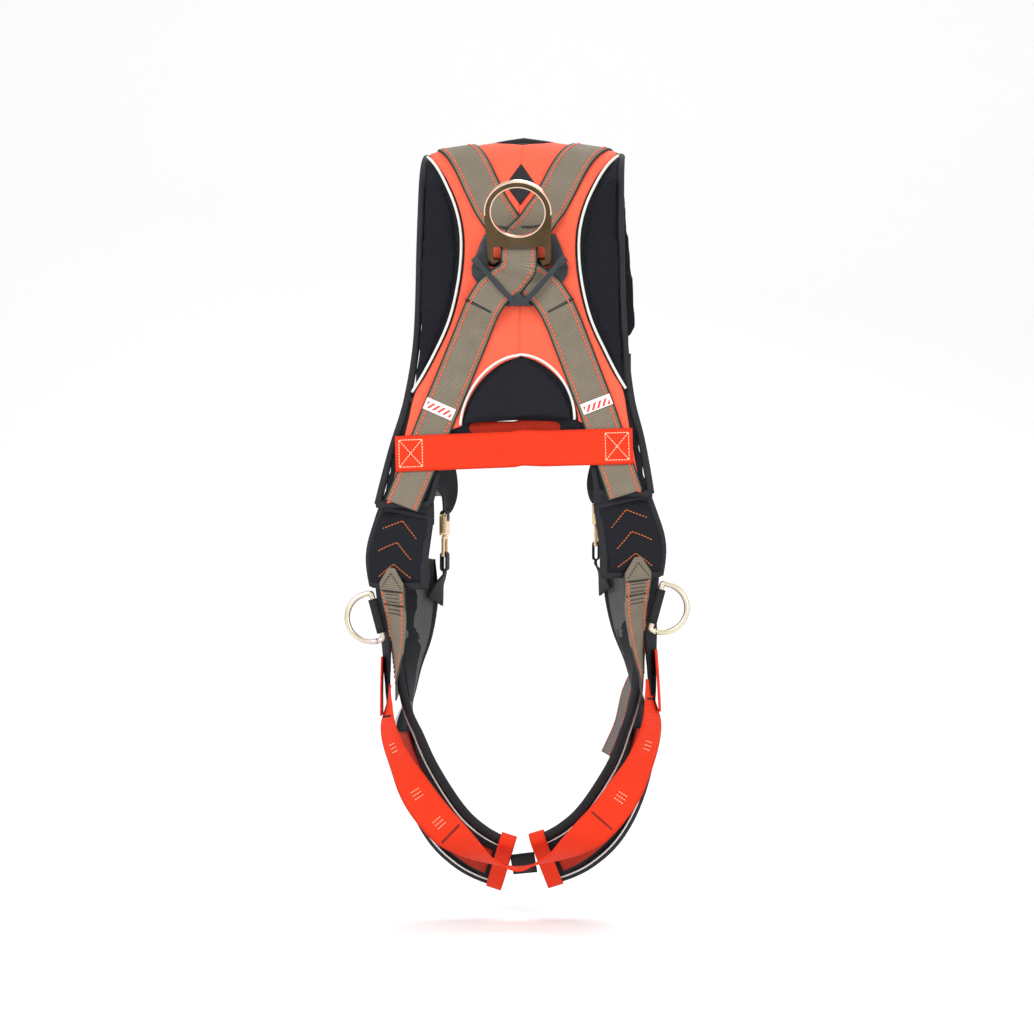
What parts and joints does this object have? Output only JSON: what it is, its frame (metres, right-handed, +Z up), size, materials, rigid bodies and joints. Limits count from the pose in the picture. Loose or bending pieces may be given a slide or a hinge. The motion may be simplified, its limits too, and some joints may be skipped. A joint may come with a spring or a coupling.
{
  "type": "safety harness",
  "caption": "Full-body fall-arrest harness with padded back vest, crossing shoulder straps, dorsal and side rings, chest buckle, padded hip, leg and seat straps.",
  "frame": {"origin": "point on the shoulder line, midway between the shoulders, where the vest rests on the wearer", "axes": "+Z up along the wearer's back, +Y forwards out of the wearer's chest, +X to the wearer's right hand"},
  "size_m": [0.4358, 0.2909, 0.9702],
  "materials": {
    "pad_fabric": "black air mesh and woven cover over foam",
    "side_fabric": "black woven cover over foam",
    "orange_fabric": "matte woven cover",
    "piping": "light grey piping",
    "cross_webbing": "grey-beige polyester webbing",
    "orange_webbing": "red-orange polyester webbing",
    "black_webbing": "black polyester webbing",
    "tail_webbing": "grey polyester webbing with red stitching",
    "tag_label": "white label with red bars",
    "plate_plastic": "moulded, semi-matte",
    "ring_steel": "yellow passivated forged steel",
    "side_ring_steel": "pale yellow zinc plating",
    "buckle_steel": "gold-coloured zinc plating",
    "release_plastic": "red release tab"
  },
  "bodies": {
    "harness": {"back_pad": "pad_fabric", "back_panel": "orange_fabric", "lumbar_pad": "pad_fabric", "lumbar_piping": "piping", "side_piping_left": "piping", "side_piping_right": "piping", "side_cushion_left": "side_fabric", "side_cushion_right": "side_fabric", "neck_binding": "pad_fabric", "diamond_patch": "black_webbing", "shoulder_pad_left": "pad_fabric", "shoulder_pad_right": "pad_fabric", "cross_strap_left": "cross_webbing", "cross_strap_right": "cross_webbing", "dorsal_plate": "plate_plastic", "waist_strap": "orange_webbing", "indicator_tag_left": "tag_label", "indicator_tag_right": "tag_label", "seat_strap": "orange_webbing", "hip_pad_left": "pad_fabric", "hip_pad_right": "pad_fabric", "hip_webbing_left": "cross_webbing", "hip_webbing_right": "cross_webbing", "leg_pad_left": "pad_fabric", "leg_pad_right": "pad_fabric", "leg_webbing_left": "orange_webbing", "leg_webbing_right": "orange_webbing", "leg_link_left": "orange_webbing", "leg_link_right": "orange_webbing", "crotch_loop_left": "orange_webbing", "crotch_loop_right": "orange_webbing", "crotch_link": "black_webbing", "strap_tail_right": "tail_webbing", "side_ring_loop_left": "black_webbing", "side_ring_loop_right": "black_webbing", "front_strap_left": "cross_webbing", "front_strap_right": "cross_webbing", "leg_buckle_left_receiver": "buckle_steel", "leg_buckle_right_receiver": "buckle_steel", "leg_strap_left": "black_webbing", "leg_strap_right": "black_webbing", "leg_riser_left": "black_webbing", "leg_riser_right": "black_webbing"},
    "dorsal_ring": {"dorsal_ring": "ring_steel"},
    "side_ring_left": {"side_ring_left": "side_ring_steel"},
    "side_ring_right": {"side_ring_right": "side_ring_steel"},
    "chest_strap": {"chest_strap_left": "black_webbing", "chest_strap_right": "black_webbing", "chest_buckle_receiver": "buckle_steel"},
    "chest_tongue": {"chest_buckle_tongue": "buckle_steel"},
    "chest_release_upper": {"chest_release_upper": "release_plastic"},
    "chest_release_lower": {"chest_release_lower": "release_plastic"},
    "lanyard_plate_left": {"lanyard_plate_left": "plate_plastic"},
    "lanyard_plate_right": {"lanyard_plate_right": "plate_plastic"},
    "leg_tongue_left": {"leg_buckle_left_tongue": "buckle_steel"},
    "leg_release_left": {"leg_release_left": "release_plastic"},
    "leg_tongue_right": {"leg_buckle_right_tongue": "buckle_steel"},
    "leg_release_right": {"leg_release_right": "release_plastic"}
  },
  "joints": [
    {"name": "dorsal_ring_swing", "type": "hinge", "parent": "harness", "child": "dorsal_ring", "pos_m": [0, -0.11296, -0.152], "axis": [1, 0, 0], "range_deg": [-20, 88]},
    {"name": "side_ring_left_swing", "type": "hinge", "parent": "harness", "child": "side_ring_left", "pos_m": [-0.18329, -0.052, -0.59238], "axis": [-0.2588, 0, 0.9659], "range_deg": [-45, 70]},
    {"name": "side_ring_right_swing", "type": "hinge", "parent": "harness", "child": "side_ring_right", "pos_m": [0.16871, -0.052, -0.57962], "axis": [0.2588, 0, 0.9659], "range_deg": [-70, 45]},
    {"name": "chest_strap_slide", "type": "slide", "parent": "harness", "child": "chest_strap", "axis": [0, 0, 1], "range_m": [-0.012, 0.012]},
    {"name": "chest_tongue_pull", "type": "slide", "parent": "chest_strap", "child": "chest_tongue", "axis": [-1, 0, 0], "range_m": [0, 0.016]},
    {"name": "chest_release_upper_press", "type": "slide", "parent": "chest_strap", "child": "chest_release_upper", "axis": [0, 0, -1], "range_m": [0, 0.002], "stiffness_N_per_m": 800, "springref_m": -0.001},
    {"name": "chest_release_lower_press", "type": "slide", "parent": "chest_strap", "child": "chest_release_lower", "axis": [0, 0, 1], "range_m": [0, 0.002], "stiffness_N_per_m": 800, "springref_m": -0.001},
    {"name": "leg_tongue_left_pull", "type": "slide", "parent": "harness", "child": "leg_tongue_left", "axis": [0, 0, -1], "range_m": [0, 0.016]},
    {"name": "leg_release_left_press", "type": "slide", "parent": "harness", "child": "leg_release_left", "axis": [0, -1, 0], "range_m": [0, 0.002], "stiffness_N_per_m": 800, "springref_m": -0.001},
    {"name": "lanyard_plate_left_slide", "type": "slide", "parent": "harness", "child": "lanyard_plate_left", "axis": [-0.1213, 0, -0.9926], "range_m": [-0.012, 0.012]},
    {"name": "leg_tongue_right_pull", "type": "slide", "parent": "harness", "child": "leg_tongue_right", "axis": [0, 0, -1], "range_m": [0, 0.016]},
    {"name": "leg_release_right_press", "type": "slide", "parent": "harness", "child": "leg_release_right", "axis": [0, -1, 0], "range_m": [0, 0.002], "stiffness_N_per_m": 800, "springref_m": -0.001},
    {"name": "lanyard_plate_right_slide", "type": "slide", "parent": "harness", "child": "lanyard_plate_right", "axis": [0.1213, 0, -0.9926], "range_m": [-0.012, 0.012]}
  ],
  "couplings": [
    {"joint": "chest_release_lower_press", "follows": "chest_release_upper_press", "ratio": 1}
  ]
}
